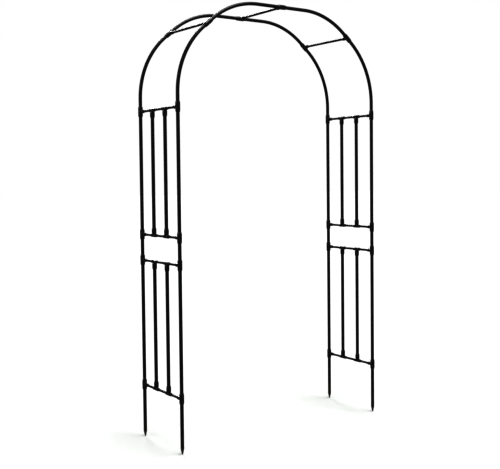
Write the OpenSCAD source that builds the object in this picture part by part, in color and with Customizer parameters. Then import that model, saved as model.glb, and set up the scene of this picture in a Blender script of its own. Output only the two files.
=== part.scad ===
// Garden trellis arch: two bent steel-tube arches, one behind the other, plugged
// together from short tubes and moulded connectors. Each side has an upper and a
// lower trellis panel with two upright rods, and an open window between them.
// X runs across the passage, -Y is the front arch, +Z is up.
// The origin is midway between the four stakes, level with their points.

/* [Overall size] */
// Height from the stake points to the top of the crown connectors
overall_h = 2400; // [2000:10:2900]
// Distance between the left and right posts, centre to centre
passage_w = 1355; // [1120:5:1700]
// Distance between the front and rear arches, centre to centre
arch_gap = 405; // [320:5:700]

/* [Side panels] */
// Height of the bottom crossbar above the stake points
stake_h = 292; // [200:1:400]
// Height of the lower trellis panel, crossbar to crossbar
lower_panel_h = 698; // [300:1:850]
// Height of the open window between the two panels, crossbar to crossbar
window_h = 143; // [100:1:250]

/* [Arch] */
// Bend radius of every bent tube, at its centreline
bend_r = 460; // [360:5:560]
// Slope of the tubes where the shoulder connectors join them, in degrees
shoulder_slope = 40; // [35:1:48]
// Straight tube from the top crossbar up to the start of the bend
lead_l = 72; // [50:1:150]
// Straight tube left bare between a shoulder connector and the bends beside it
bend_margin = 6; // [2:0.5:20]

/* [Tubes] */
// Outside diameter of the post, arch and upright rod tubes
tube_d = 19; // [15:0.1:25]
// Wall of the post, arch and upright rod tubes
tube_wall = 0.8; // [0.5:0.1:1.5]
// Outside diameter of the crossbar tubes
bar_d = 13; // [10:0.1:16]
// Wall of the crossbar tubes
bar_wall = 0.8; // [0.5:0.1:1.5]

/* [Moulded connectors] */
// Length of the sleeve that joins two post or arch tubes
sleeve_l = 58; // [44:1:80]
// Wall of the moulded sockets around a post, arch or rod tube
socket_wall = 3; // [2:0.1:5]
// Wall of the moulded sockets around a crossbar
bar_socket_wall = 2.8; // [2:0.1:4]
// Thickness of the stop in the middle of a sleeve
stop_t = 4; // [2:0.5:8]
// Reach of a crossbar socket from the centreline of the sleeve
bar_socket_reach = 42; // [30:1:60]
// Length of the rod connector along its crossbar
rod_sleeve_l = 62; // [44:1:80]
// Reach of a rod socket from the centreline of its crossbar
rod_socket_reach = 42; // [30:1:60]
// Length of the taper at the open end of a socket
mouth_taper_l = 6; // [2:0.5:10]
// How much the wall thins at the open end of a socket
mouth_taper = 1.4; // [0.5:0.1:1.6]
// Floor of a crossbar socket, measured out from the outside of the sleeve
bar_floor_t = 0.4; // [0.2:0.1:2]
// Floor of a rod socket, measured up from the outside of the crossbar sleeve
rod_floor_t = 0.6; // [0.2:0.1:2]

/* [Stake points] */
// Length of the point below the stake tube
point_l = 32; // [20:1:60]
// Length of the straight collar that the stake tube stands on
point_collar_l = 2; // [1:0.5:5]
// Diameter of the blunt end of the point
point_end_d = 6; // [4:0.5:10]
// Length of the spigot that plugs into the stake tube
spigot_l = 26; // [15:1:50]
// Length of the lead-in at the top of the spigot
spigot_lead_l = 2; // [1:0.5:4]
// How much the lead-in narrows the spigot, on the radius
spigot_lead = 1.2; // [0.5:0.1:2]

/* [Fits] */
// Gap between a tube and its socket, on the radius
socket_fit = 0.2; // [0.1:0.05:0.4]
// Gap between the end of a tube and the stop in its socket
end_gap = 0.3; // [0.1:0.1:0.6]
// Gap between the stake spigot and the inside of its tube, on the radius
spigot_fit = 0.15; // [0.05:0.05:0.3]
// How much the straight ends of a bent tube are drawn down to enter a socket, on the radius
end_draw = 0.05; // [0.04:0.01:0.1]
// How much the top of a stake tube is drawn down, so that it lifts out by hand, on the radius
stake_draw = 0.2; // [0.2:0.05:0.4]

/* [Hidden] */
$fn = 64;
CUT = 1;  // extra depth that carries a cut clear of a face
LAP = 3;  // how far a drawn end runs on inside the wall of its tube

ARCHES = ["front", "rear"];
SIDES = ["left", "right"];
PANELS = ["upper", "lower"];

tube_r = tube_d / 2;
bar_r = bar_d / 2;
socket_bore_r = tube_r + socket_fit;
socket_r = socket_bore_r + socket_wall;
bar_bore_r = bar_r + socket_fit;
bar_socket_r = bar_bore_r + bar_socket_wall;
lead_in = (socket_wall - mouth_taper) / 2;
bar_lead_in = (bar_socket_wall - mouth_taper) / 2;

// From the middle of a sleeve to the end of the tube that is pushed into it
tube_end = stop_t / 2 + end_gap;
// From the middle of a shoulder connector to the bend on either side of it
shoulder_half = sleeve_l / 2 + bend_margin;
// The shoulder tubes turn from upright to the shoulder slope
shoulder_turn = 90 - shoulder_slope;

// Heights of the arch's centreline
crown_h = overall_h - socket_r;
shoulder_rise = bend_r * sin(shoulder_turn);
crown_rise = bend_r * (1 - cos(shoulder_slope));
arch_rise = shoulder_rise + 2 * shoulder_half * sin(shoulder_slope) + crown_rise;
spring_h = crown_h - arch_rise;

// Half of the straight stretch at the crown: what the bends leave of the width
crown_half = passage_w / 2 - bend_r * (1 - cos(shoulder_turn))
    - 2 * shoulder_half * cos(shoulder_slope) - bend_r * sin(shoulder_slope);

// Middle of the shoulder connector, on the right
shoulder_x = crown_half + bend_r * sin(shoulder_slope) + shoulder_half * cos(shoulder_slope);
shoulder_h = crown_h - crown_rise - shoulder_half * sin(shoulder_slope);

// Crossbar heights from the bottom up
bottom_h = stake_h;
lower_middle_h = bottom_h + lower_panel_h;
upper_middle_h = lower_middle_h + window_h;
top_h = spring_h - lead_l;
BAR_NAMES = ["bottom", "lower_middle", "upper_middle", "top"];
BAR_HEIGHTS = [bottom_h, lower_middle_h, upper_middle_h, top_h];

// The crossbars end just short of the floor of their sockets
bar_floor = socket_r + bar_floor_t;
bar_l = arch_gap - 2 * (bar_floor + end_gap);

// The rods stand in thirds of the gap, on the floor of their sockets
rod_y = arch_gap / 6;
rod_floor = bar_socket_r + rod_floor_t;

// Panel heights as [lower crossbar, upper crossbar]
function panel_span(panel) = panel == "upper" ? [upper_middle_h, top_h] : [bottom_h, lower_middle_h];

TUBE_BLACK = [0.05, 0.052, 0.055];
MOULDED_BLACK = [0.09, 0.09, 0.095];

// ---- Placing ----

// What is drawn for the front right corner, moved to any corner
module corner(arch, side) {
    mirror([side == "left" ? 1 : 0, 0, 0])
        mirror([0, arch == "rear" ? 1 : 0, 0])
            children();
}

// On the centreline of the front right post
module on_post() {
    translate([passage_w / 2, -arch_gap / 2, 0]) children();
}

// On the centreline of the front arch, at its middle
module on_arch() {
    translate([0, -arch_gap / 2, 0]) children();
}

// In the plane of a side panel
module on_side(side) {
    translate([side == "left" ? -passage_w / 2 : passage_w / 2, 0, 0]) children();
}

// ---- Tubes ----

module tube_section(r) {
    difference() {
        circle(r);
        circle(r - tube_wall);
    }
}

module straight_tube(l) {
    linear_extrude(l) tube_section(tube_r);
}

// Bend in the XZ plane about the origin, from +X towards +Z
module tube_bend(angle) {
    rotate([90, 0, 0])
        rotate_extrude(angle = angle)
            translate([bend_r, 0])
                tube_section(tube_r);
}

// Drawn-down straight end along +Z; the tube that it belongs to stops at the origin
module drawn_end(l, draw) {
    translate([0, 0, -LAP])
        linear_extrude(l + LAP)
            tube_section(tube_r - draw);
}

// Upright tube between two connectors, from one height to another
module post_tube(from_h, to_h) {
    color(TUBE_BLACK)
        translate([0, 0, from_h + tube_end])
            straight_tube(to_h - from_h - 2 * tube_end);
}

// The lowest tube of a post stands on its stake point and is drawn down inside its socket
module stake_tube() {
    socket_mouth = bottom_h - sleeve_l / 2;
    color(TUBE_BLACK) {
        translate([0, 0, point_l])
            straight_tube(socket_mouth - point_l);
        translate([0, 0, socket_mouth])
            drawn_end(sleeve_l / 2 - tube_end, stake_draw);
    }
}

// Tube that turns inwards from the post to the shoulder connector
module shoulder_tube() {
    color(TUBE_BLACK)
        translate([passage_w / 2 - bend_r, 0, spring_h]) {
            tube_bend(shoulder_turn);
            translate([bend_r, 0, 0])
                rotate([180, 0, 0])
                    drawn_end(lead_l - tube_end, end_draw);
            rotate([0, -shoulder_turn, 0])
                translate([bend_r, 0, 0])
                    drawn_end(shoulder_half - tube_end, end_draw);
        }
}

// Tube from the shoulder connector over to the crown connector
module crown_tube() {
    color(TUBE_BLACK)
        translate([crown_half, 0, crown_h - bend_r]) {
            rotate([0, -shoulder_turn, 0]) {
                tube_bend(shoulder_slope);
                translate([bend_r, 0, 0])
                    rotate([180, 0, 0])
                        drawn_end(shoulder_half - tube_end, end_draw);
            }
            translate([0, 0, bend_r])
                rotate([0, -90, 0])
                    drawn_end(crown_half - tube_end, end_draw);
        }
}

// Crossbar from the front arch to the rear one, centred on the origin
module crossbar() {
    color(TUBE_BLACK)
        rotate([90, 0, 0])
            linear_extrude(bar_l, center = true)
                difference() {
                    circle(bar_r);
                    circle(bar_r - bar_wall);
                }
}

// Upright rod of a side panel
module panel_rod(span) {
    color(TUBE_BLACK)
        translate([0, 0, span[0] + rod_floor + end_gap])
            straight_tube(span[1] - span[0] - 2 * (rod_floor + end_gap));
}

// ---- Moulded connectors ----

// Solid round sleeve along Z, centred on the origin, with both ends tapered
module sleeve_body(r, l) {
    rotate_extrude()
        polygon([
            [0, -l / 2],
            [r - mouth_taper, -l / 2],
            [r, mouth_taper_l - l / 2],
            [r, l / 2 - mouth_taper_l],
            [r - mouth_taper, l / 2],
            [0, l / 2]
        ]);
}

// Solid round boss along +Z that flares out of a sleeve, its far end tapered
module boss_body(root_r, r, flare_l, l) {
    rotate_extrude()
        polygon([
            [0, 0],
            [root_r, 0],
            [r, flare_l],
            [r, l - mouth_taper_l],
            [r - mouth_taper, l],
            [0, l]
        ]);
}

// Bore along +Z from floor_z out through a mouth at mouth_z, with a lead-in at the mouth
module socket_bore(r, floor_z, mouth_z, lead) {
    translate([0, 0, floor_z])
        cylinder(r = r, h = mouth_z + CUT - floor_z);
    translate([0, 0, mouth_z - lead])
        cylinder(r1 = r, r2 = r + 2 * lead, h = 2 * lead);
}

// Joins two tubes along Z and holds a crossbar that leaves along +Y
module cross_connector() {
    color(MOULDED_BLACK)
        difference() {
            union() {
                sleeve_body(socket_r, sleeve_l);
                rotate([-90, 0, 0])
                    boss_body(bar_socket_r, bar_socket_r, socket_r / 2, bar_socket_reach);
            }
            for (turn = [0, 180])
                rotate([turn, 0, 0])
                    socket_bore(socket_bore_r, stop_t / 2, sleeve_l / 2, lead_in);
            rotate([-90, 0, 0])
                socket_bore(bar_bore_r, bar_floor, bar_socket_reach, bar_lead_in);
        }
}

// Slides along a crossbar on Y and holds the rod that leaves along +Z
module rod_connector() {
    color(MOULDED_BLACK)
        difference() {
            union() {
                rotate([-90, 0, 0])
                    sleeve_body(bar_socket_r, rod_sleeve_l);
                boss_body(bar_socket_r - mouth_taper, socket_r, bar_socket_r, rod_socket_reach);
            }
            rotate([-90, 0, 0])
                cylinder(r = bar_bore_r, h = rod_sleeve_l + 2 * CUT, center = true);
            socket_bore(socket_bore_r, rod_floor, rod_socket_reach, lead_in);
        }
}

// The four connectors up one post
module post_connectors() {
    for (h = BAR_HEIGHTS)
        translate([0, 0, h])
            cross_connector();
}

module shoulder_connector() {
    translate([shoulder_x, 0, shoulder_h])
        rotate([0, -shoulder_turn, 0])
            cross_connector();
}

module crown_connector() {
    translate([0, 0, crown_h])
        rotate([0, 90, 0])
            cross_connector();
}

// The four rod connectors of one panel, two on each crossbar
module rod_connectors(span) {
    for (y = [-rod_y, rod_y]) {
        translate([0, y, span[0]])
            rod_connector();
        translate([0, y, span[1]])
            rotate([0, 180, 0])
                rod_connector();
    }
}

// Blunt tapered point with a spigot that plugs into the stake tube
module stake_point() {
    spigot_r = tube_r - tube_wall - spigot_fit;
    color(MOULDED_BLACK)
        rotate_extrude()
            polygon([
                [0, 0],
                [point_end_d / 2, 0],
                [tube_r, point_l - point_collar_l],
                [tube_r, point_l],
                [spigot_r, point_l],
                [spigot_r, point_l + spigot_l - spigot_lead_l],
                [spigot_r - spigot_lead, point_l + spigot_l],
                [0, point_l + spigot_l]
            ]);
}

// ---- The arch ----

for (arch = ARCHES, side = SIDES) {
    corner(arch, side) on_post() stake_tube();
    corner(arch, side) on_post() post_tube(bottom_h, lower_middle_h);
    corner(arch, side) on_post() post_tube(lower_middle_h, upper_middle_h);
    corner(arch, side) on_post() post_tube(upper_middle_h, top_h);
    corner(arch, side) on_arch() shoulder_tube();
    corner(arch, side) on_arch() crown_tube();
    corner(arch, side) on_post() post_connectors();
    corner(arch, side) on_arch() shoulder_connector();
}

for (arch = ARCHES) {
    corner(arch, "right") on_arch() crown_connector();
    for (side = SIDES)
            corner(arch, side) on_post() stake_point();
}

for (side = SIDES, i = [0:3])
    on_side(side) translate([0, 0, BAR_HEIGHTS[i]]) crossbar();

translate([-shoulder_x, 0, shoulder_h]) crossbar();  // left_shoulder_crossbar
translate([0, 0, crown_h]) crossbar();  // crown_crossbar
translate([shoulder_x, 0, shoulder_h]) crossbar();  // right_shoulder_crossbar

for (side = SIDES, panel = PANELS) {
    for (arch = ARCHES)
        on_side(side) translate([0, arch == "front" ? -rod_y : rod_y, 0])
                panel_rod(panel_span(panel));
    on_side(side) rod_connectors(panel_span(panel));
}
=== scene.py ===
"""Garden trellis arch: the finished surfaces of its tubes, moulded connectors and stake points.

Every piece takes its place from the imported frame. Lengths are metres, +Z is up,
X runs across the passage and the front arch is at -Y.
"""

import math

import bmesh
import bpy
from mathutils import Matrix, Vector


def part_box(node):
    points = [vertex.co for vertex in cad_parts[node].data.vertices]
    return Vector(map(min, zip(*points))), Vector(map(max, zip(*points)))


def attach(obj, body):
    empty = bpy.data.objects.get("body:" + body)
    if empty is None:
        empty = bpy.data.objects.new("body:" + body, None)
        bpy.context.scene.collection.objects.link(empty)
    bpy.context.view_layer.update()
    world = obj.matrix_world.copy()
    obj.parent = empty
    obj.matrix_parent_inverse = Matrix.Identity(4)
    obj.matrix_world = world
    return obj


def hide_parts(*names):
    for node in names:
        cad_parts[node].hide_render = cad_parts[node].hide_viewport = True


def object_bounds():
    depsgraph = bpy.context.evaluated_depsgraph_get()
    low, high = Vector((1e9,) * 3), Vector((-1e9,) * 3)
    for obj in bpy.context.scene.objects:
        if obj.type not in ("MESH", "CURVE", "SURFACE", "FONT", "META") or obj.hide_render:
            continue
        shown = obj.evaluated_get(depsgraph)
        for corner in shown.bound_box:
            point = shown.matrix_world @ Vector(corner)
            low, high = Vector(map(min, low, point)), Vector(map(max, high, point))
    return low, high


bl_info = {
    "name": "Garden trellis arch",
    "version": (1, 0, 0),
    "blender": (4, 5, 0),
    "location": "View3D > Sidebar > Trellis arch",
    "description": "Builds the tubes, connectors and stake points of a plug-together garden arch",
    "category": "Object",
}

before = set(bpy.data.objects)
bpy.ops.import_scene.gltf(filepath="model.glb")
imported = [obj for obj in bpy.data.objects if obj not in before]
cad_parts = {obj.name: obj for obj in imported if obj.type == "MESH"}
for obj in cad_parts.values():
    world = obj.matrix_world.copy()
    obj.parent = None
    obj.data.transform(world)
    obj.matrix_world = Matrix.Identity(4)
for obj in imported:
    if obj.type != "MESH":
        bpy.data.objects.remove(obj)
CAD_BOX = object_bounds()

BODY = "root"
ARCHES = ("front", "rear")
SIDES = ("left", "right")
PANELS = ("upper", "lower")
POST_PARTS = ("stake", "lower", "middle", "upper")
BARS = ("bottom", "lower_middle", "upper_middle", "top")
ARCH_BARS = ("left_shoulder_crossbar", "crown_crossbar", "right_shoulder_crossbar")

# Each piece carries its own coordinates in PART_CO, and how worn it is in WEAR
PART_CO = "part_co"
WEAR = "wear"


# -------- sizes from the frame

def centre(node):
    """Middle of a CAD node's box."""
    low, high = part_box(node)
    return (low + high) / 2


def extent(node):
    """Size of a CAD node's box along X, Y and Z."""
    low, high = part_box(node)
    return high - low


POST = centre("front_right_lower_tube")
TUBE_R = extent("front_right_lower_tube").x / 2
BAR_R = extent("crown_crossbar").x / 2
BAR_HALF = extent("crown_crossbar").y / 2
SHOULDER = centre("right_shoulder_crossbar")
CROWN = centre("crown_crossbar")
SLEEVE_HALF = extent("front_crown_connector").x / 2
SOCKET_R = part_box("front_crown_connector")[1].z - CROWN.z
BAR_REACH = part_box("front_crown_connector")[1].y - POST.y
BAR_HEIGHTS = {bar: centre(f"left_{bar}_crossbar").z for bar in BARS}
ROD_Y = centre("left_lower_rear_rod").y
ROD_FLOOR_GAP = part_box("left_lower_rear_rod")[0].z - BAR_HEIGHTS["bottom"]
TUBE_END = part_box("front_right_lower_tube")[0].z - BAR_HEIGHTS["bottom"]
STAKE_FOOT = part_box("front_left_stake_tube")[0].z
POINT_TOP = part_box("front_stake_points")[1].z


# -------- properties

class TrellisSizes(bpy.types.PropertyGroup):
    """Sizes of the finish that the frame leaves open."""

    tube_wall: bpy.props.FloatProperty(
        name="Tube wall", description="Thickness of the steel of every tube",
        default=0.0008, min=0.0004, max=0.002, unit="LENGTH", precision=5)
    tube_sides: bpy.props.IntProperty(
        name="Tube sides", description="Faces around a tube", default=40, min=16, max=64)
    bend_radius: bpy.props.FloatProperty(
        name="Bend radius", description="Radius of every bent tube at its centreline",
        default=0.46, min=0.36, max=0.56, unit="LENGTH")
    shoulder_slope: bpy.props.FloatProperty(
        name="Shoulder slope",
        description="Slope of the tubes where the shoulder connectors join them",
        default=math.radians(40), min=math.radians(35), max=math.radians(48), subtype="ANGLE")
    bare_end: bpy.props.FloatProperty(
        name="Bare end", description="Straight tube between a shoulder connector and the bend beside it",
        default=0.006, min=0.002, max=0.02, unit="LENGTH", precision=4)
    socket_fit: bpy.props.FloatProperty(
        name="Socket gap", description="Gap between a tube and its socket, on the radius",
        default=0.0002, min=0.0001, max=0.0004, unit="LENGTH", precision=5)
    taper_length: bpy.props.FloatProperty(
        name="Taper length", description="Length of the taper at the open end of a socket",
        default=0.009, min=0.002, max=0.012, unit="LENGTH", precision=4)
    taper: bpy.props.FloatProperty(
        name="Taper", description="How much the wall thins at the open end of a socket",
        default=0.0018, min=0.0005, max=0.0022, unit="LENGTH", precision=5)
    rim_round: bpy.props.FloatProperty(
        name="Rim rounding", description="Rounding of the moulded rims",
        default=0.0005, min=0.0002, max=0.0008, unit="LENGTH", precision=5)
    bar_socket_wall: bpy.props.FloatProperty(
        name="Bar socket wall", description="Wall of the moulded sockets around a crossbar",
        default=0.0028, min=0.002, max=0.004, unit="LENGTH", precision=5)
    rod_sleeve: bpy.props.FloatProperty(
        name="Rod sleeve", description="Length of a rod connector along its crossbar",
        default=0.062, min=0.044, max=0.08, unit="LENGTH", precision=4)
    rod_reach: bpy.props.FloatProperty(
        name="Rod socket reach", description="Reach of a rod socket from its crossbar's centreline",
        default=0.042, min=0.03, max=0.06, unit="LENGTH", precision=4)
    stop: bpy.props.FloatProperty(
        name="Stop thickness", description="Web in the middle of a sleeve that the tubes meet",
        default=0.004, min=0.002, max=0.008, unit="LENGTH", precision=4)


class TrellisColours(bpy.types.PropertyGroup):
    """Colours of the finish and of the stage."""

    coating: bpy.props.FloatVectorProperty(
        name="Coating", description="Black coating of the steel tubes",
        default=(0.0125, 0.0130, 0.0140), size=3, min=0, max=1, subtype="COLOR")
    moulding: bpy.props.FloatVectorProperty(
        name="Moulding", description="Black plastic of the connectors and stake points",
        default=(0.0150, 0.0150, 0.0155), size=3, min=0, max=1, subtype="COLOR")
    scratch: bpy.props.FloatVectorProperty(
        name="Scratch", description="Coating and plastic where they are rubbed",
        default=(0.060, 0.060, 0.062), size=3, min=0, max=1, subtype="COLOR")
    dust: bpy.props.FloatVectorProperty(
        name="Dust", description="Garden dust on the upper surfaces",
        default=(0.30, 0.28, 0.24), size=3, min=0, max=1, subtype="COLOR")
    soil: bpy.props.FloatVectorProperty(
        name="Soil", description="Dry soil left low on the stakes",
        default=(0.16, 0.12, 0.085), size=3, min=0, max=1, subtype="COLOR")
    floor: bpy.props.FloatVectorProperty(
        name="Floor", description="Plain pale floor of the stage",
        default=(0.84, 0.85, 0.84), size=3, min=0, max=1, subtype="COLOR")


class TrellisStage(bpy.types.PropertyGroup):
    """Camera and light of the stage."""

    camera_place: bpy.props.FloatVectorProperty(
        name="Camera place", description="Where the camera stands",
        default=(-2.9165, -4.0026, 1.4410), size=3, subtype="TRANSLATION")
    camera_turn: bpy.props.FloatProperty(
        name="Camera turn", description="Turn of the view from +Y towards +X",
        default=math.radians(35.2634), subtype="ANGLE")
    camera_tilt: bpy.props.FloatProperty(
        name="Camera tilt", description="Rise of the view above the horizon",
        default=math.radians(-2.2880), subtype="ANGLE")
    camera_roll: bpy.props.FloatProperty(
        name="Camera roll", description="Roll of the camera about its view",
        default=math.radians(-0.5959), subtype="ANGLE")
    camera_lens: bpy.props.FloatProperty(
        name="Lens", description="Focal length in millimetres on a 36 mm sensor",
        default=61.318, min=20, max=200)
    camera_shift: bpy.props.FloatProperty(
        name="Shift", description="Rise of the lens as a share of the frame's width",
        default=-0.0457, min=-0.2, max=0.2)
    contrast: bpy.props.FloatProperty(
        name="Contrast", description="Gamma of the view; below 1 the blacks are deeper",
        default=0.6, min=0.4, max=1)
    backdrop: bpy.props.FloatProperty(
        name="Backdrop", description="Brightness of the plain white backdrop behind the floor",
        default=1.0, min=0, max=2)
    sky_light: bpy.props.FloatProperty(
        name="Sky light", description="Strength of the even light from all round",
        default=0.16, min=0, max=5)
    top_light: bpy.props.FloatProperty(
        name="Top light", description="Strength of the wide soft light overhead",
        default=3.1, min=0, max=20)
    back_light: bpy.props.FloatProperty(
        name="Back light",
        description="Strength of the light behind, which edges the tops of the tubes",
        default=0.9, min=0, max=20)
    side_light: bpy.props.FloatProperty(
        name="Side light",
        description="Strength of the weak light from the left, which rounds the uprights",
        default=0.5, min=0, max=20)


# -------- shader nodes

def made_node(tree, kind, **settings):
    """A new node of a tree, with some of its own settings."""
    node = tree.nodes.new(kind)
    for name, value in settings.items():
        setattr(node, name, value)
    return node


def feed(tree, socket, value):
    """Sets a socket to a number or a colour, or links another socket to it."""
    if isinstance(value, bpy.types.NodeSocket):
        tree.links.new(value, socket)
    elif socket.type == "RGBA" and len(value) == 3:
        socket.default_value = (*value, 1.0)
    else:
        socket.default_value = value


def maths(tree, operation, first, second=0.0, clamp=False):
    """A Math node's result."""
    node = made_node(tree, "ShaderNodeMath", operation=operation, use_clamp=clamp)
    feed(tree, node.inputs[0], first)
    feed(tree, node.inputs[1], second)
    return node.outputs[0]


def times(tree, first, second, clamp=False):
    """Two values multiplied."""
    return maths(tree, "MULTIPLY", first, second, clamp)


def eased(tree, value, low, high, to_low=0.0, to_high=1.0):
    """A value eased from low..high to to_low..to_high."""
    node = made_node(tree, "ShaderNodeMapRange", interpolation_type="SMOOTHSTEP")
    feed(tree, node.inputs["Value"], value)
    feed(tree, node.inputs["From Min"], low)
    feed(tree, node.inputs["From Max"], high)
    feed(tree, node.inputs["To Min"], to_low)
    feed(tree, node.inputs["To Max"], to_high)
    return node.outputs["Result"]


def noise(tree, vector, scale, detail=3.0, rough=0.55):
    """Noise from 0 to 1."""
    node = made_node(tree, "ShaderNodeTexNoise")
    feed(tree, node.inputs["Vector"], vector)
    feed(tree, node.inputs["Scale"], scale)
    feed(tree, node.inputs["Detail"], detail)
    feed(tree, node.inputs["Roughness"], rough)
    return node.outputs["Fac"]


def mixed(tree, mask, first, second):
    """A colour between two others."""
    node = made_node(tree, "ShaderNodeMix", data_type="RGBA")
    feed(tree, node.inputs["Factor"], mask)
    first_in, second_in = (s for s in node.inputs if s.type == "RGBA")
    feed(tree, first_in, first)
    feed(tree, second_in, second)
    return next(s for s in node.outputs if s.type == "RGBA")


def parted(tree, vector):
    """The X, Y and Z of a vector."""
    node = made_node(tree, "ShaderNodeSeparateXYZ")
    feed(tree, node.inputs[0], vector)
    return node.outputs


def object_place(tree):
    """Object coordinates, which are the frame's own."""
    return made_node(tree, "ShaderNodeTexCoord").outputs["Object"]


def attribute(tree, name):
    """An attribute of the mesh."""
    return made_node(tree, "ShaderNodeAttribute", attribute_name=name)


def bumped(tree, height, distance, strength, under=None):
    """A Bump node's normal for a relief of a depth in metres, over another normal if given."""
    node = made_node(tree, "ShaderNodeBump")
    feed(tree, node.inputs["Strength"], strength)
    feed(tree, node.inputs["Distance"], distance)
    feed(tree, node.inputs["Height"], height)
    if under is not None:
        feed(tree, node.inputs["Normal"], under)
    return node.outputs["Normal"]


def new_group(name, given, made):
    """A shader node group with named sockets: its tree, input node and output node."""
    group = bpy.data.node_groups.new(name, "ShaderNodeTree")
    for label, default in given:
        socket = group.interface.new_socket(name=label, in_out="INPUT", socket_type="NodeSocketFloat")
        socket.default_value = default
    for label in made:
        group.interface.new_socket(name=label, in_out="OUTPUT", socket_type="NodeSocketFloat")
    return group, made_node(group, "NodeGroupInput").outputs, made_node(group, "NodeGroupOutput").inputs


def placed(tree, group, values):
    """A group's outputs in a tree, with its own input values."""
    node = made_node(tree, "ShaderNodeGroup", node_tree=bpy.data.node_groups[group])
    for name, value in values.items():
        feed(tree, node.inputs[name], value)
    return node.outputs


# -------- shared effects

def grain_group():
    """Fine relief of a coated or moulded surface, and its broad mottling."""
    group, given, made = new_group(
        "Surface grain", [("Scale", 900.0), ("Waviness", 0.4)], ["Height", "Mottle"])
    place = object_place(group)
    fine = noise(group, place, given["Scale"], detail=2.0)
    broad = noise(group, place, times(group, given["Scale"], 0.15), detail=1.0)
    waves = times(group, broad, given["Waviness"])
    feed(group, made["Height"], maths(group, "ADD", fine, waves))
    feed(group, made["Mottle"], noise(group, place, scale=16.0, detail=5.0, rough=0.6))


def dust_group():
    """Dust on faces that look up, and soil splashed low on the stakes."""
    group, given, made = new_group(
        "Garden dust", [("Amount", 0.3), ("Soil height", 0.2)], ["Dust", "Soil"])
    place = object_place(group)
    facing = parted(group, made_node(group, "ShaderNodeNewGeometry").outputs["Normal"])
    up = eased(group, facing["Z"], 0.35, 0.95)
    patches = eased(group, noise(group, place, scale=60.0, detail=4.0, rough=0.6), 0.38, 0.72)
    lying = times(group, up, patches)
    feed(group, made["Dust"], times(group, lying, given["Amount"], clamp=True))
    # The soil's upper edge wanders by up to 0.16 m
    wander = times(group, noise(group, place, scale=26.0, detail=4.0, rough=0.65), 0.16)
    height = maths(group, "ADD", parted(group, place)["Z"], wander)
    low = maths(group, "SUBTRACT", 1.0, eased(group, height, 0.05, given["Soil height"]))
    flecks = eased(group, noise(group, place, scale=300.0, detail=4.0, rough=0.7), 0.44, 0.60)
    feed(group, made["Soil"], times(group, low, flecks, clamp=True))


def scuff_group():
    """Long fine scratches, drawn out along the piece, in a few rubbed places."""
    group, given, made = new_group("Scuffs", [("Amount", 0.5)], ["Mask"])
    own = attribute(group, PART_CO).outputs["Vector"]
    drawn = made_node(group, "ShaderNodeVectorMath", operation="MULTIPLY")
    feed(group, drawn.inputs[0], own)
    feed(group, drawn.inputs[1], (1.0, 1.0, 0.05))
    streaks = noise(group, drawn.outputs[0], scale=700.0, detail=2.0, rough=0.5)
    lines = eased(group, streaks, 0.64, 0.72)
    where = eased(group, noise(group, object_place(group), scale=11.0), 0.50, 0.66)
    rubbed = maths(group, "MAXIMUM", where, attribute(group, WEAR).outputs["Fac"])
    mask = times(group, lines, rubbed)
    feed(group, made["Mask"], times(group, mask, given["Amount"], clamp=True))


def mould_group():
    """Parting line and gate mark of a moulded piece, and the rub on its rims."""
    group, given, made = new_group(
        "Mould marks", [("Line width", 0.0003), ("Gate radius", 0.0024)], ["Height", "Rub"])
    own = parted(group, attribute(group, PART_CO).outputs["Vector"])
    off_line = maths(group, "ABSOLUTE", own["X"])
    ridge = maths(group, "SUBTRACT", 1.0, eased(group, off_line, 0.0, given["Line width"]))
    across = times(group, own["X"], own["X"])
    along = times(group, own["Z"], own["Z"])
    off_gate = maths(group, "SQRT", maths(group, "ADD", across, along))
    inner = times(group, given["Gate radius"], 0.8)
    dish = eased(group, off_gate, inner, given["Gate radius"], to_low=-1.5, to_high=0.0)
    # The gate is on the side that faces away from the crossbar or rod
    behind = maths(group, "LESS_THAN", own["Y"], -0.005)
    feed(group, made["Height"], maths(group, "ADD", ridge, times(group, dish, behind)))
    patchy = noise(group, object_place(group), scale=420.0, detail=4.0, rough=0.65)
    broken = eased(group, patchy, 0.38, 0.66)
    feed(group, made["Rub"], times(group, attribute(group, WEAR).outputs["Fac"], broken))


# -------- materials

def bare_material(name, constants):
    """A material with a Principled shader and its constant values: its tree and shader."""
    material = bpy.data.materials.new(name)
    material.use_nodes = True
    shader = material.node_tree.nodes["Principled BSDF"]
    for label, value in constants.items():
        shader.inputs[label].default_value = value
    return material.node_tree, shader.inputs


def coated_steel(name):
    """Satin black powder coat on steel tube, with scratches along it."""
    colours = bpy.context.scene.trellis_colours
    tree, shader = bare_material(name, {"IOR": 1.5, "Coat Weight": 0.2, "Coat Roughness": 0.16})
    grain = placed(tree, "Surface grain", {"Scale": 700.0, "Waviness": 1.6})
    garden = placed(tree, "Garden dust", {"Amount": 0.10, "Soil height": 0.20})
    scuffs = placed(tree, "Scuffs", {"Amount": 0.6})
    mottle = eased(tree, grain["Mottle"], 0.35, 0.65)
    base = mixed(tree, mottle, [0.65 * c for c in colours.coating], tuple(colours.coating))
    scratched = mixed(tree, scuffs["Mask"], base, tuple(colours.scratch))
    dusty = mixed(tree, garden["Dust"], scratched, tuple(colours.dust))
    soil = times(tree, garden["Soil"], 0.45)
    feed(tree, shader["Base Color"], mixed(tree, soil, dusty, tuple(colours.soil)))
    satin = eased(tree, grain["Mottle"], 0.3, 0.7, to_low=0.30, to_high=0.42)
    duller = maths(tree, "ADD", satin, times(tree, scuffs["Mask"], 0.2))
    powder = times(tree, maths(tree, "ADD", garden["Dust"], soil), 0.5)
    feed(tree, shader["Roughness"], maths(tree, "ADD", duller, powder, clamp=True))
    peel = bumped(tree, grain["Height"], distance=0.00006, strength=0.35)
    cut = times(tree, scuffs["Mask"], -1.0)
    feed(tree, shader["Normal"], bumped(tree, cut, distance=0.00004, strength=0.5, under=peel))


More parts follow.
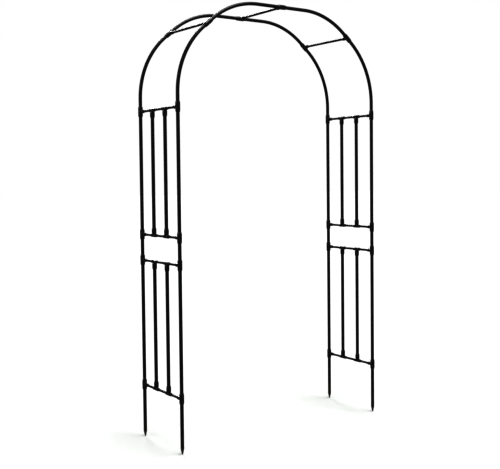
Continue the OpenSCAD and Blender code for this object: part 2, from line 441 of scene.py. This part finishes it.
def moulded_plastic(name, grain_scale, soil_share, satin_low, satin_high):
    """Black moulded plastic with a parting line, a gate mark and rubbed rims."""
    colours = bpy.context.scene.trellis_colours
    tree, shader = bare_material(name, {"IOR": 1.49, "Coat Weight": 0.5, "Coat Roughness": 0.08})
    grain = placed(tree, "Surface grain", {"Scale": grain_scale, "Waviness": 0.6})
    garden = placed(tree, "Garden dust", {"Amount": 0.12, "Soil height": 0.20})
    marks = placed(tree, "Mould marks", {"Line width": 0.0003, "Gate radius": 0.0024})
    mottle = eased(tree, grain["Mottle"], 0.35, 0.65)
    base = mixed(tree, mottle, [0.7 * c for c in colours.moulding], tuple(colours.moulding))
    rub = times(tree, marks["Rub"], 0.6)
    worn = mixed(tree, rub, base, tuple(colours.scratch))
    dusty = mixed(tree, garden["Dust"], worn, tuple(colours.dust))
    soil = times(tree, garden["Soil"], soil_share)
    feed(tree, shader["Base Color"], mixed(tree, soil, dusty, tuple(colours.soil)))
    satin = eased(tree, grain["Mottle"], 0.3, 0.7, to_low=satin_low, to_high=satin_high)
    duller = maths(tree, "ADD", satin, times(tree, rub, 0.15))
    powder = times(tree, maths(tree, "ADD", garden["Dust"], soil), 0.4)
    feed(tree, shader["Roughness"], maths(tree, "ADD", duller, powder, clamp=True))
    spark = bumped(tree, grain["Height"], distance=0.00004, strength=0.4)
    feed(tree, shader["Normal"], bumped(
        tree, marks["Height"], distance=0.00012, strength=0.8, under=spark))


def finish(name):
    """A material by name; the first call makes them all."""
    if name not in bpy.data.materials:
        grain_group()
        dust_group()
        scuff_group()
        mould_group()
        coated_steel("Coated steel")
        moulded_plastic(
            "Moulded connector", grain_scale=1100.0, soil_share=0.3, satin_low=0.18, satin_high=0.28)
        moulded_plastic(
            "Moulded stake point", grain_scale=800.0, soil_share=0.8, satin_low=0.42, satin_high=0.55)
    return bpy.data.materials[name]


# -------- mesh helpers

# Points nearer than this are one point
SAME_POINT = 1e-6


def new_shape():
    """An empty bmesh with the layers that the materials read."""
    shape = bmesh.new()
    shape.verts.layers.float_vector.new(PART_CO)
    shape.verts.layers.float.new(WEAR)
    return shape


def put_in_order(shape):
    """Sorts edges and faces by their verts, because the operators leave their order to chance."""
    shape.verts.index_update()
    count = len(shape.verts)

    def rank(element):
        first, second, *others = sorted(vert.index for vert in element.verts)
        return (first * count + second) * count + min(others, default=0)

    shape.edges.sort(key=rank)
    shape.faces.sort(key=rank)


def finished_piece(name, shape, material, nodes, rounded=False):
    """Turns a bmesh into a piece that stands for CAD nodes."""
    bmesh.ops.remove_doubles(shape, verts=shape.verts, dist=SAME_POINT)
    bmesh.ops.recalc_face_normals(shape, faces=shape.faces)
    put_in_order(shape)
    for face in shape.faces:
        face.smooth = True
    mesh = bpy.data.meshes.new(name)
    shape.to_mesh(mesh)
    shape.free()
    mesh.materials.append(finish(material))
    piece = bpy.data.objects.new(name, mesh)
    bpy.context.scene.collection.objects.link(piece)
    if rounded:
        smoothing = piece.modifiers.new("Rounding", "SUBSURF")
        smoothing.levels = 1
        smoothing.render_levels = 1
    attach(piece, BODY)
    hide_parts(*nodes)


def edges_of(verts):
    """The edges that join these verts to each other, in the order of the verts."""
    group = set(verts)
    edges = dict.fromkeys(edge for vert in verts for edge in vert.link_edges)
    return [edge for edge in edges if set(edge.verts) <= group]


def grown(shape, edges):
    """Extrudes a loop of edges: the new edges and verts."""
    made = bmesh.ops.extrude_edge_only(shape, edges=edges)["geom"]
    new_edges = [g for g in made if isinstance(g, bmesh.types.BMEdge)]
    new_verts = [g for g in made if isinstance(g, bmesh.types.BMVert)]
    return new_edges, new_verts


def mirrored(arch, side):
    """From the front right corner to any corner."""
    return Matrix.Diagonal((-1 if side == "left" else 1, -1 if arch == "rear" else 1, 1, 1))


def taken_in(shape, part, place):
    """Adds a part made at the origin to a shape, in its place; the part is used up."""
    bmesh.ops.transform(part, matrix=place, verts=part.verts)
    carrier = bpy.data.meshes.new("carrier")
    part.to_mesh(carrier)
    part.free()
    shape.from_mesh(carrier)
    bpy.data.meshes.remove(carrier)


# -------- tubes

# How far the rubbing of a socket's mouth reaches along a tube
RUB_REACH = 0.022
# A row of points no nearer than this to the end of a tube
END_MARGIN = 0.002
# Straight pieces in each bend
SHOULDER_BEND_STEPS = 20
CROWN_BEND_STEPS = 16


def swept_skin(shape, radius, start, steps, wear_at):
    """One skin of a tube: a ring that is extruded step by step; gives its two open ends."""
    place = shape.verts.layers.float_vector[PART_CO]
    wear = shape.verts.layers.float[WEAR]
    sides = bpy.context.scene.trellis_sizes.tube_sides
    ring = bmesh.ops.create_circle(shape, cap_ends=False, radius=radius, segments=sides)["verts"]
    for vert in ring:
        vert[place] = vert.co
        vert[wear] = wear_at(0.0)
    bmesh.ops.transform(shape, matrix=start, verts=ring)
    first = edges_of(ring)
    edges, along = first, 0.0
    for matrix, length in steps:
        edges, verts = grown(shape, edges)
        bmesh.ops.transform(shape, matrix=matrix, verts=verts)
        along += length
        for vert in verts:
            vert[place] = (vert[place].x, vert[place].y, along)
            vert[wear] = wear_at(along)
    return first, edges


def hollow_tube(radius, start, steps, wear_at):
    """A tube with its wall and its two end faces."""
    shape = new_shape()
    wall = bpy.context.scene.trellis_sizes.tube_wall
    outer = swept_skin(shape, radius, start, steps, wear_at)
    inner = swept_skin(shape, radius - wall, start, steps, wear_at)
    for outside, inside in zip(outer, inner):
        bmesh.ops.bridge_loops(shape, edges=outside + inside)
    return shape


def straight_steps(direction, stations):
    """Steps along a straight, from one station to the next."""
    return [(Matrix.Translation(direction * (after - before)), after - before)
            for before, after in zip(stations, stations[1:])]


def bend_steps(middle, axis, angle, radius, count):
    """Steps round a bend in the XZ plane."""
    turn = Matrix.Rotation(angle / count, 4, axis)
    step = Matrix.Translation(middle) @ turn @ Matrix.Translation(-middle)
    return [(step, abs(angle / count) * radius)] * count


def rub_near(mouths):
    """Wear that fades along a tube away from the mouths of its sockets."""
    return lambda along: max(max(0.0, 1.0 - abs(along - mouth) / RUB_REACH) for mouth in mouths)


def straight_tube(node, radius, low, high, mouths, wear_at=None):
    """A straight tube from one point to another; mouths are how far along it its sockets open."""
    along = high - low
    length = along.length
    stations = {0.0, length}
    for mouth in mouths:
        rows = (mouth - RUB_REACH, mouth, mouth + RUB_REACH)
        stations |= {row for row in rows if END_MARGIN < row < length - END_MARGIN}
    direction = along.normalized()
    start = Matrix.Translation(low) @ direction.to_track_quat("Z", "Y").to_matrix().to_4x4()
    steps = straight_steps(direction, sorted(stations))
    shape = hollow_tube(radius, start, steps, wear_at or rub_near(mouths))
    finished_piece(f"{node}_steel", shape, "Coated steel", [node])


def post_point(arch, side, height):
    """A point on the centreline of a post."""
    return mirrored(arch, side) @ Vector((POST.x, POST.y, height))


class TRELLIS_OT_post_tubes(bpy.types.Operator):
    """Builds the four straight tubes of each post"""

    bl_idname = "trellis.post_tubes"
    bl_label = "Post tubes"

    def execute(self, context):
        in_socket = SLEEVE_HALF - TUBE_END
        heights = [BAR_HEIGHTS[bar] for bar in BARS]
        for arch in ARCHES:
            for side in SIDES:
                for part, low, high in zip(POST_PARTS[1:], heights, heights[1:]):
                    bottom = post_point(arch, side, low + TUBE_END)
                    top = post_point(arch, side, high - TUBE_END)
                    mouths = (in_socket, (top - bottom).length - in_socket)
                    straight_tube(f"{arch}_{side}_{part}_tube", TUBE_R, bottom, top, mouths)
        return {"FINISHED"}


class TRELLIS_OT_stake_tubes(bpy.types.Operator):
    """Builds the four stake tubes, which are rubbed by the soil"""

    bl_idname = "trellis.stake_tubes"
    bl_label = "Stake tubes"

    def execute(self, context):
        for arch in ARCHES:
            for side in SIDES:
                bottom = post_point(arch, side, STAKE_FOOT)
                top = post_point(arch, side, BAR_HEIGHTS["bottom"] - TUBE_END)
                length = (top - bottom).length
                mouth = length - SLEEVE_HALF + TUBE_END
                # The wear fades out at this height above the foot
                rubbed = 0.6 * length
                straight_tube(
                    f"{arch}_{side}_stake_tube", TUBE_R, bottom, top,
                    (0.0, rubbed, mouth), lambda along: max(0.0, 1.0 - along / rubbed))
        return {"FINISHED"}


class TRELLIS_OT_arch_tubes(bpy.types.Operator):
    """Builds the bent tubes from the posts over the shoulders to the crown"""

    bl_idname = "trellis.arch_tubes"
    bl_label = "Arch tubes"

    def execute(self, context):
        sizes = context.scene.trellis_sizes
        radius, slope = sizes.bend_radius, sizes.shoulder_slope
        turn = math.pi / 2 - slope
        half = SLEEVE_HALF + sizes.bare_end
        in_socket = SLEEVE_HALF - TUBE_END
        down_slope = Vector((math.cos(slope), 0, -math.sin(slope)))
        outwards = Vector((math.cos(turn), 0, math.sin(turn)))
        joint = Vector((SHOULDER.x, POST.y, SHOULDER.z))
        low_centre = joint + half * down_slope - radius * outwards
        high_centre = joint - half * down_slope - radius * outwards
        lead = low_centre.z - BAR_HEIGHTS["top"] - TUBE_END
        foot = Vector((low_centre.x + radius, POST.y, BAR_HEIGHTS["top"] + TUBE_END))
        # Turning from upright towards the crown is a negative turn about +Y
        axis = Vector((0, 1, 0))
        shoulder_steps = (
            straight_steps(Vector((0, 0, 1)), [0, in_socket, in_socket + RUB_REACH, lead])
            + bend_steps(low_centre, axis, -turn, radius, SHOULDER_BEND_STEPS)
            + straight_steps(-down_slope, [0, half - SLEEVE_HALF, half - TUBE_END]))
        low_end = joint - TUBE_END * down_slope
        flat_l = high_centre.x - TUBE_END
        crown_steps = (
            straight_steps(-down_slope, [0, in_socket, half - TUBE_END])
            + bend_steps(high_centre, axis, -slope, radius, CROWN_BEND_STEPS)
            + straight_steps(
                Vector((-1, 0, 0)), [0, flat_l - in_socket - RUB_REACH, flat_l - in_socket, flat_l]))
        shoulder_l = sum(length for _, length in shoulder_steps)
        crown_l = sum(length for _, length in crown_steps)
        upright = Matrix.Translation(foot)
        along_slope = (-down_slope).to_track_quat("Z", "Y").to_matrix().to_4x4()
        sloped = Matrix.Translation(low_end) @ along_slope
        for arch in ARCHES:
            for side in SIDES:
                for part, start, steps, total in (
                        ("shoulder", upright, shoulder_steps, shoulder_l),
                        ("crown", sloped, crown_steps, crown_l)):
                    node = f"{arch}_{side}_{part}_tube"
                    rub = rub_near((in_socket, total - in_socket))
                    shape = hollow_tube(TUBE_R, start, steps, rub)
                    bmesh.ops.transform(shape, matrix=mirrored(arch, side), verts=shape.verts)
                    finished_piece(f"{node}_steel", shape, "Coated steel", [node])
        return {"FINISHED"}


class TRELLIS_OT_crossbars(bpy.types.Operator):
    """Builds the eleven crossbars between the front and rear arches"""

    bl_idname = "trellis.crossbars"
    bl_label = "Crossbars"

    def execute(self, context):
        nodes = [f"{side}_{bar}_crossbar" for side in SIDES for bar in BARS] + list(ARCH_BARS)
        mouth = BAR_REACH + POST.y + BAR_HALF
        half = Vector((0, BAR_HALF, 0))
        for node in nodes:
            front, rear = centre(node) - half, centre(node) + half
            straight_tube(node, BAR_R, front, rear, (mouth, 2 * BAR_HALF - mouth))
        return {"FINISHED"}


class TRELLIS_OT_rods(bpy.types.Operator):
    """Builds the two upright rods of each side panel"""

    bl_idname = "trellis.rods"
    bl_label = "Upright rods"

    def execute(self, context):
        in_socket = context.scene.trellis_sizes.rod_reach - ROD_FLOOR_GAP
        for side in SIDES:
            for panel in PANELS:
                for arch in ARCHES:
                    node = f"{side}_{panel}_{arch}_rod"
                    low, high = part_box(node)
                    middle = (low + high) / 2
                    bottom = Vector((middle.x, middle.y, low.z))
                    top = Vector((middle.x, middle.y, high.z))
                    mouths = (in_socket, high.z - low.z - in_socket)
                    straight_tube(node, TUBE_R, bottom, top, mouths)
        return {"FINISHED"}


# -------- connectors

SLEEVE_SIDES = 24
# A face further out than this share of the sleeve's radius is on its outside
OUTSIDE = 0.9
# Points this near the end of a socket are its rim
RIM_DEPTH = 0.0002
# Shares of the taper where it starts and ends, and of the lead-in where it meets the bore
TAPER_START, TAPER_END, LEAD_CURVE = 0.12, 0.1, 0.3
# Width of the flat ledge round a floor or a stop, beside the bore
LEDGE = 0.001

# A socket's root on its sleeve: half the height and half the angle opened for it, the opening's
# radii, the flare's rings, and where the socket starts. A cross connector's ring is (radius, lift
# off the sleeve), a rod connector's (two radii, share of the way up to the socket).
CROSS_ROOT_HALF, CROSS_OPENING = 0.011, math.radians(61)
CROSS_FOOT = (0.0116, 0.0116)
CROSS_FLARE = ((0.0104, 0.0005), (0.0098, 0.0016))
CROSS_ROOT_TOP = 0.0150
ROD_ROOT_HALF, ROD_OPENING = 0.0125, math.radians(76)
ROD_FOOT = (0.00915, 0.0134)
ROD_FLARE = (((0.0101, 0.0131), 0.14), ((0.0119, 0.0128), 0.50))
ROD_ROOT_TOP = 0.0135
# How far a socket's floor stands off the outside of its sleeve
CROSS_FLOOR_LIFT, ROD_FLOOR_LIFT = 0.0004, 0.0006


def cage(radius, sides):
    """Radius of a ring of points whose rounded surface has the given radius."""
    # Rounding moves a point to a mean of 4 parts itself and 1 part each neighbour
    return radius * 6 / (4 + 2 * math.cos(math.tau / sides))


def mouth_profile(socket_r, bore_r, end):
    """Outside to inside round the open end of a socket: (radius, distance along it)."""
    sizes = bpy.context.scene.trellis_sizes
    rim_r = socket_r - sizes.taper
    lead = (rim_r - bore_r) / 2
    return [
        (socket_r, end - sizes.taper_length - sizes.rim_round),
        (socket_r - sizes.taper * TAPER_START, end - sizes.taper_length + sizes.rim_round),
        (rim_r + sizes.taper * TAPER_END, end - sizes.rim_round),
        (rim_r - sizes.rim_round, end),
        (bore_r + lead, end),
        (bore_r + lead * LEAD_CURVE, end - lead),
        (bore_r, end - lead - sizes.rim_round),
    ]


def spun_sleeve(profile, closed):
    """Spins a profile of (radius, height) points round +Z into a cage for rounding."""
    shape = new_shape()
    verts = [shape.verts.new((cage(radius, SLEEVE_SIDES), 0, height)) for radius, height in profile]
    ends = list(zip(verts, verts[1:]))
    if closed:
        ends.append((verts[-1], verts[0]))
    edges = [shape.edges.new(pair) for pair in ends]
    bmesh.ops.spin(
        shape, geom=verts + edges, cent=(0, 0, 0), axis=(0, 0, 1),
        angle=math.tau, steps=SLEEVE_SIDES, use_merge=True, use_duplicate=False)
    bmesh.ops.remove_doubles(shape, verts=shape.verts, dist=SAME_POINT)
    return shape


def opened(shape, sleeve_r, half_turn, half_length, half_x, half_z):
    """Opens the +Y side of a sleeve and rounds the hole's rim to an ellipse: the rim's edges."""

    def is_taken(face):
        middle = face.calc_center_median()
        far_out = math.hypot(middle.x, middle.y) > OUTSIDE * sleeve_r
        ahead = math.atan2(abs(middle.x), middle.y) < half_turn
        return far_out and ahead and abs(middle.z) < half_length

    def angle_of(vert):
        return math.atan2(vert.co.z, vert.co.x) % math.tau

    taken = [face for face in shape.faces if is_taken(face)]
    rim = [edge for edge in {e for face in taken for e in face.edges}
           if len(set(edge.link_faces) & set(taken)) == 1]
    verts = sorted({v for edge in rim for v in edge.verts}, key=angle_of)
    bmesh.ops.delete(shape, geom=taken, context="FACES")
    radius = cage(sleeve_r, SLEEVE_SIDES)
    for count, vert in enumerate(verts):
        angle = math.tau * count / len(verts)
        x, z = half_x * math.cos(angle), half_z * math.sin(angle)
        vert.co = (x, math.sqrt(radius * radius - x * x), z)
    return edges_of(verts)


def ring_grown(shape, edges, before, after, height):
    """Extrudes a ring about +Y from one ellipse to another; height gives each angle's Y."""
    edges, verts = grown(shape, edges)
    for vert in verts:
        angle = math.atan2(vert.co.z / before[1], vert.co.x / before[0])
        vert.co = (after[0] * math.cos(angle), height(angle), after[1] * math.sin(angle))
    return edges


def socket_grown(shape, edges, root, socket_r, bore_r, root_height, end, floor):
    """Grows a round socket along +Y from its root ring, with its mouth, bore and floor."""
    count = len(edges)
    rows = [(socket_r, root_height)] + mouth_profile(socket_r, bore_r, end)
    rows += [(bore_r, floor + LEDGE), (bore_r, floor + 0.2 * LEDGE), (bore_r - LEDGE, floor)]
    before = root
    for radius, height in rows:
        after = (cage(radius, count),) * 2
        edges = ring_grown(shape, edges, before, after, lambda angle, y=height: y)
        before = after
    bmesh.ops.edgeloop_fill(shape, edges=edges)


def marked(shape, is_rim):
    """Writes each vert's own coordinates, and its wear at the rims."""
    place = shape.verts.layers.float_vector[PART_CO]
    wear = shape.verts.layers.float[WEAR]
    for vert in shape.verts:
        vert[place] = vert.co
        vert[wear] = 1.0 if is_rim(vert.co) else 0.0
    return shape


def cross_connector():
    """Sleeve along +Z that joins two tubes, with a crossbar socket along +Y."""
    sizes = bpy.context.scene.trellis_sizes
    bore_r = TUBE_R + sizes.socket_fit
    web = sizes.stop / 2
    mouth = mouth_profile(SOCKET_R, bore_r, SLEEVE_HALF)
    upper = [(0.0, web), (bore_r - LEDGE, web), (bore_r, web + 0.3 * LEDGE), (bore_r, web + 2 * LEDGE)]
    upper += list(reversed(mouth)) + [(SOCKET_R, CROSS_ROOT_HALF), (SOCKET_R, CROSS_ROOT_HALF / 2)]
    lower = [(radius, -height) for radius, height in reversed(upper)]
    shape = spun_sleeve(upper + [(SOCKET_R, 0.0)] + lower, closed=False)

    bar_bore_r = BAR_R + sizes.socket_fit
    bar_socket_r = bar_bore_r + sizes.bar_socket_wall
    rim = opened(shape, SOCKET_R, CROSS_OPENING, CROSS_ROOT_HALF, *CROSS_FOOT)
    sleeve = cage(SOCKET_R, SLEEVE_SIDES)

    def over_sleeve(radius, lift):
        """Height of a ring that follows the sleeve's curve, lifted off it."""
        return lambda angle: math.sqrt(sleeve ** 2 - (radius * math.cos(angle)) ** 2) + lift

    before = CROSS_FOOT
    for radius, lift in CROSS_FLARE:
        after = (radius, radius)
        rim = ring_grown(shape, rim, before, after, over_sleeve(radius, lift))
        before = after
    floor = SOCKET_R + CROSS_FLOOR_LIFT
    socket_grown(shape, rim, before, bar_socket_r, bar_bore_r, CROSS_ROOT_TOP, BAR_REACH, floor)
    return marked(
        shape, lambda co: abs(co.z) > SLEEVE_HALF - RIM_DEPTH or co.y > BAR_REACH - RIM_DEPTH)


def rod_connector():
    """Sleeve along +Z that slides on a crossbar, with a wider rod socket along +Y."""
    sizes = bpy.context.scene.trellis_sizes
    bore_r = BAR_R + sizes.socket_fit
    sleeve_r = bore_r + sizes.bar_socket_wall
    half = sizes.rod_sleeve / 2
    mouth = mouth_profile(sleeve_r, bore_r, half)
    upper = list(reversed(mouth)) + [(sleeve_r, ROD_ROOT_HALF), (sleeve_r, ROD_ROOT_HALF / 2)]
    lower = [(radius, -height) for radius, height in reversed(upper)]
    shape = spun_sleeve(upper + [(sleeve_r, 0.0)] + lower, closed=True)

    rod_bore_r = TUBE_R + sizes.socket_fit
    rim = opened(shape, sleeve_r, ROD_OPENING, ROD_ROOT_HALF, *ROD_FOOT)
    sleeve = cage(sleeve_r, SLEEVE_SIDES)

    def flared(share):
        """Height part of the way from the sleeve up to the socket's root."""
        def height(angle):
            low = math.sqrt(sleeve ** 2 - (ROD_FOOT[0] * math.cos(angle)) ** 2)
            return low + share * (ROD_ROOT_TOP - low)
        return height

    before = ROD_FOOT
    for after, share in ROD_FLARE:
        rim = ring_grown(shape, rim, before, after, flared(share))
        before = after
    floor = sleeve_r + ROD_FLOOR_LIFT
    socket_grown(shape, rim, before, SOCKET_R, rod_bore_r, ROD_ROOT_TOP, sizes.rod_reach, floor)
    return marked(
        shape, lambda co: abs(co.z) > half - RIM_DEPTH or co.y > sizes.rod_reach - RIM_DEPTH)


def connector_piece(node, parts):
    """A piece for a node from its connectors, each (maker, place)."""
    shape = new_shape()
    for maker, place in parts:
        taken_in(shape, maker(), place)
    finished_piece(
        f"{node}_moulding", shape, "Moulded connector", [node], rounded=True)


class TRELLIS_OT_post_connectors(bpy.types.Operator):
    """Builds the four connectors up each post"""

    bl_idname = "trellis.post_connectors"
    bl_label = "Post connectors"

    def execute(self, context):
        places = [Matrix.Translation((POST.x, POST.y, height)) for height in BAR_HEIGHTS.values()]
        for arch in ARCHES:
            for side in SIDES:
                connector_piece(f"{arch}_{side}_post_connectors", [
                    (cross_connector, mirrored(arch, side) @ place) for place in places])
        return {"FINISHED"}


class TRELLIS_OT_arch_connectors(bpy.types.Operator):
    """Builds the shoulder and crown connectors of both arches"""

    bl_idname = "trellis.arch_connectors"
    bl_label = "Arch connectors"

    def execute(self, context):
        lean = context.scene.trellis_sizes.shoulder_slope - math.pi / 2
        at_shoulder = (
            Matrix.Translation((SHOULDER.x, POST.y, SHOULDER.z)) @ Matrix.Rotation(lean, 4, "Y"))
        at_crown = Matrix.Translation((0, POST.y, CROWN.z)) @ Matrix.Rotation(-math.pi / 2, 4, "Y")
        for arch in ARCHES:
            for side in SIDES:
                place = mirrored(arch, side) @ at_shoulder
                connector_piece(f"{arch}_{side}_shoulder_connector", [(cross_connector, place)])
            place = mirrored(arch, "right") @ at_crown
            connector_piece(f"{arch}_crown_connector", [(cross_connector, place)])
        return {"FINISHED"}


class TRELLIS_OT_rod_connectors(bpy.types.Operator):
    """Builds the connectors that hold the upright rods on the crossbars"""

    bl_idname = "trellis.rod_connectors"
    bl_label = "Rod connectors"

    def execute(self, context):
        # A connector's sleeve turns from +Z to lie along the crossbar, its socket up or down
        socket_up = Matrix.Rotation(math.pi / 2, 4, "X")
        socket_down = Matrix.Rotation(-math.pi / 2, 4, "X")
        spans = {"upper": ("upper_middle", "top"), "lower": ("bottom", "lower_middle")}
        for side in SIDES:
            x = -POST.x if side == "left" else POST.x
            for panel in PANELS:
                connector_piece(f"{side}_{panel}_rod_connectors", [
                    (rod_connector, Matrix.Translation((x, y, BAR_HEIGHTS[bar])) @ turn)
                    for bar, turn in zip(spans[panel], (socket_up, socket_down))
                    for y in (-ROD_Y, ROD_Y)])
        return {"FINISHED"}


# Gap between a point's spigot and the inside of its tube, on the radius
SPIGOT_GAP = 0.00015
# Radius and rounding of a point's blunt tip, and the collar's height up to the tube's foot
TIP_R, TIP_ROUND = 0.003, 0.0011
COLLAR = 0.002


class TRELLIS_OT_stake_points(bpy.types.Operator):
    """Builds the blunt tapered points that plug into the stake tubes"""

    bl_idname = "trellis.stake_points"
    bl_label = "Stake points"

    def execute(self, context):
        spigot_r = TUBE_R - context.scene.trellis_sizes.tube_wall - SPIGOT_GAP
        collar = STAKE_FOOT - COLLAR
        # The small offsets are rows beside each edge, which hold its rounding
        tip = [(0.0, 0.0), (TIP_R - TIP_ROUND, 0.0), (TIP_R - 0.0002, 0.0003), (TIP_R + 0.0004, TIP_ROUND)]
        rim = [
            (TUBE_R - 0.0004, collar - 0.0015), (TUBE_R, collar), (TUBE_R, STAKE_FOOT - 0.0004),
            (TUBE_R - 0.0003, STAKE_FOOT)]
        spigot = [
            (spigot_r + 0.0003, STAKE_FOOT), (spigot_r, STAKE_FOOT + 0.0003),
            (spigot_r, POINT_TOP - 0.0022), (spigot_r - 0.0002, POINT_TOP - 0.0018),
            (spigot_r - 0.0010, POINT_TOP - 0.0002), (spigot_r - 0.0014, POINT_TOP), (0.0, POINT_TOP)]
        for arch in ARCHES:
            shape = new_shape()
            for side in SIDES:
                point = spun_sleeve(tip + rim + spigot, closed=False)
                marked(point, lambda co: co.z < TIP_ROUND)
                taken_in(shape, point, Matrix.Translation(post_point(arch, side, 0)))
            node = f"{arch}_stake_points"
            finished_piece(
                f"{node}_moulding", shape, "Moulded stake point", [node], rounded=True)
        return {"FINISHED"}


# -------- stage

# Half the floor's side in metres, and the camera sensor's width in millimetres
FLOOR_HALF = 60.0
SENSOR_WIDTH = 36.0
# Each light shines from a patch of a far sphere: the stage property that sets its strength,
# the direction to it, and the angle it is seen across
LIGHTS = {
    "Overhead": ("top_light", (0.15, -0.25, 1.0), math.radians(50)),
    "Behind": ("back_light", (0.25, 0.82, 0.52), math.radians(16)),
    "Left": ("side_light", (-1.0, 0.25, 0.35), math.radians(24)),
}


def floor_material():
    """Plain pale floor with a faint unevenness."""
    colour = tuple(bpy.context.scene.trellis_colours.floor)
    tree, shader = bare_material("Pale floor", {"Roughness": 0.9, "Specular IOR Level": 0.0})
    cloud = noise(tree, object_place(tree), scale=0.8)
    feed(tree, shader["Base Color"], mixed(tree, cloud, [0.985 * c for c in colour], colour))
    return bpy.data.materials["Pale floor"]


class TRELLIS_OT_stage(bpy.types.Operator):
    """Sets the floor, the soft light and the camera"""

    bl_idname = "trellis.stage"
    bl_label = "Stage"

    def execute(self, context):
        scene = context.scene
        stage = scene.trellis_stage

        ground = bmesh.new()
        bmesh.ops.create_grid(ground, x_segments=4, y_segments=4, size=FLOOR_HALF)
        bmesh.ops.translate(ground, verts=ground.verts, vec=(0, 0, CAD_BOX[0].z))
        mesh = bpy.data.meshes.new("floor")
        ground.to_mesh(mesh)
        ground.free()
        mesh.materials.append(floor_material())
        floor = bpy.data.objects.new("floor", mesh)
        scene.collection.objects.link(floor)
        # The tubes mirror the dim sky and not the bright floor
        floor.visible_glossy = False

        # The backdrop is seen white, and lights the object as a dimmer even sky
        world = bpy.data.worlds.new("Studio")
        world.use_nodes = True
        sky = world.node_tree.nodes["Background"].inputs
        sky["Color"].default_value = (1.0, 1.0, 1.0, 1.0)
        seen = made_node(world.node_tree, "ShaderNodeLightPath").outputs["Is Camera Ray"]
        feed(world.node_tree, sky["Strength"],
             eased(world.node_tree, seen, 0.0, 1.0, stage.sky_light, stage.backdrop))
        scene.world = world
        scene.view_settings.view_transform = "Standard"
        scene.view_settings.gamma = stage.contrast

        for name, (strength, direction, width) in LIGHTS.items():
            lamp = bpy.data.lights.new(name, "SUN")
            lamp.energy = getattr(stage, strength)
            lamp.angle = width
            light = bpy.data.objects.new(name, lamp)
            light.rotation_euler = Vector(direction).to_track_quat("Z", "Y").to_euler()
            scene.collection.objects.link(light)

        turn, tilt, roll = stage.camera_turn, stage.camera_tilt, stage.camera_roll
        ahead = Vector((
            math.sin(turn) * math.cos(tilt), math.cos(turn) * math.cos(tilt), math.sin(tilt)))
        level = Vector((math.cos(turn), -math.sin(turn), 0))
        upright = level.cross(ahead)
        right = math.cos(roll) * level + math.sin(roll) * upright
        up = math.cos(roll) * upright - math.sin(roll) * level
        lens = bpy.data.cameras.new("Camera")
        lens.lens = stage.camera_lens
        lens.sensor_width = SENSOR_WIDTH
        lens.shift_y = stage.camera_shift
        camera = bpy.data.objects.new("Camera", lens)
        scene.collection.objects.link(camera)
        turned = Matrix((right, up, -ahead)).transposed().to_4x4()
        camera.matrix_world = Matrix.Translation(Vector(stage.camera_place)) @ turned
        scene.camera = camera
        return {"FINISHED"}


# -------- panel and registration

OPERATORS = (
    TRELLIS_OT_post_tubes,
    TRELLIS_OT_stake_tubes,
    TRELLIS_OT_arch_tubes,
    TRELLIS_OT_crossbars,
    TRELLIS_OT_rods,
    TRELLIS_OT_post_connectors,
    TRELLIS_OT_arch_connectors,
    TRELLIS_OT_rod_connectors,
    TRELLIS_OT_stake_points,
    TRELLIS_OT_stage,
)
PROPERTIES = {
    "trellis_sizes": TrellisSizes,
    "trellis_colours": TrellisColours,
    "trellis_stage": TrellisStage,
}


class TRELLIS_PT_panel(bpy.types.Panel):
    """Sizes, colours and building steps of the trellis arch"""

    bl_idname = "TRELLIS_PT_panel"
    bl_label = "Trellis arch"
    bl_space_type = "VIEW_3D"
    bl_region_type = "UI"
    bl_category = "Trellis arch"

    def draw(self, context):
        for name, group in PROPERTIES.items():
            box = self.layout.box()
            for label in group.__annotations__:
                box.prop(getattr(context.scene, name), label)
        for operator in OPERATORS:
            self.layout.operator(operator.bl_idname)


def register():
    """Registers the properties, operators and panel."""
    for name, group in PROPERTIES.items():
        bpy.utils.register_class(group)
        setattr(bpy.types.Scene, name, bpy.props.PointerProperty(type=group))
    for operator in OPERATORS:
        bpy.utils.register_class(operator)
    bpy.utils.register_class(TRELLIS_PT_panel)


def unregister():
    """Takes back what register() added."""
    bpy.utils.unregister_class(TRELLIS_PT_panel)
    for operator in reversed(OPERATORS):
        bpy.utils.unregister_class(operator)
    for name, group in reversed(list(PROPERTIES.items())):
        delattr(bpy.types.Scene, name)
        bpy.utils.unregister_class(group)


def main():
    """Builds every piece."""
    register()
    for operator in OPERATORS:
        section, step = operator.bl_idname.split(".")
        getattr(getattr(bpy.ops, section), step)()


if __name__ == "__main__":
    main()
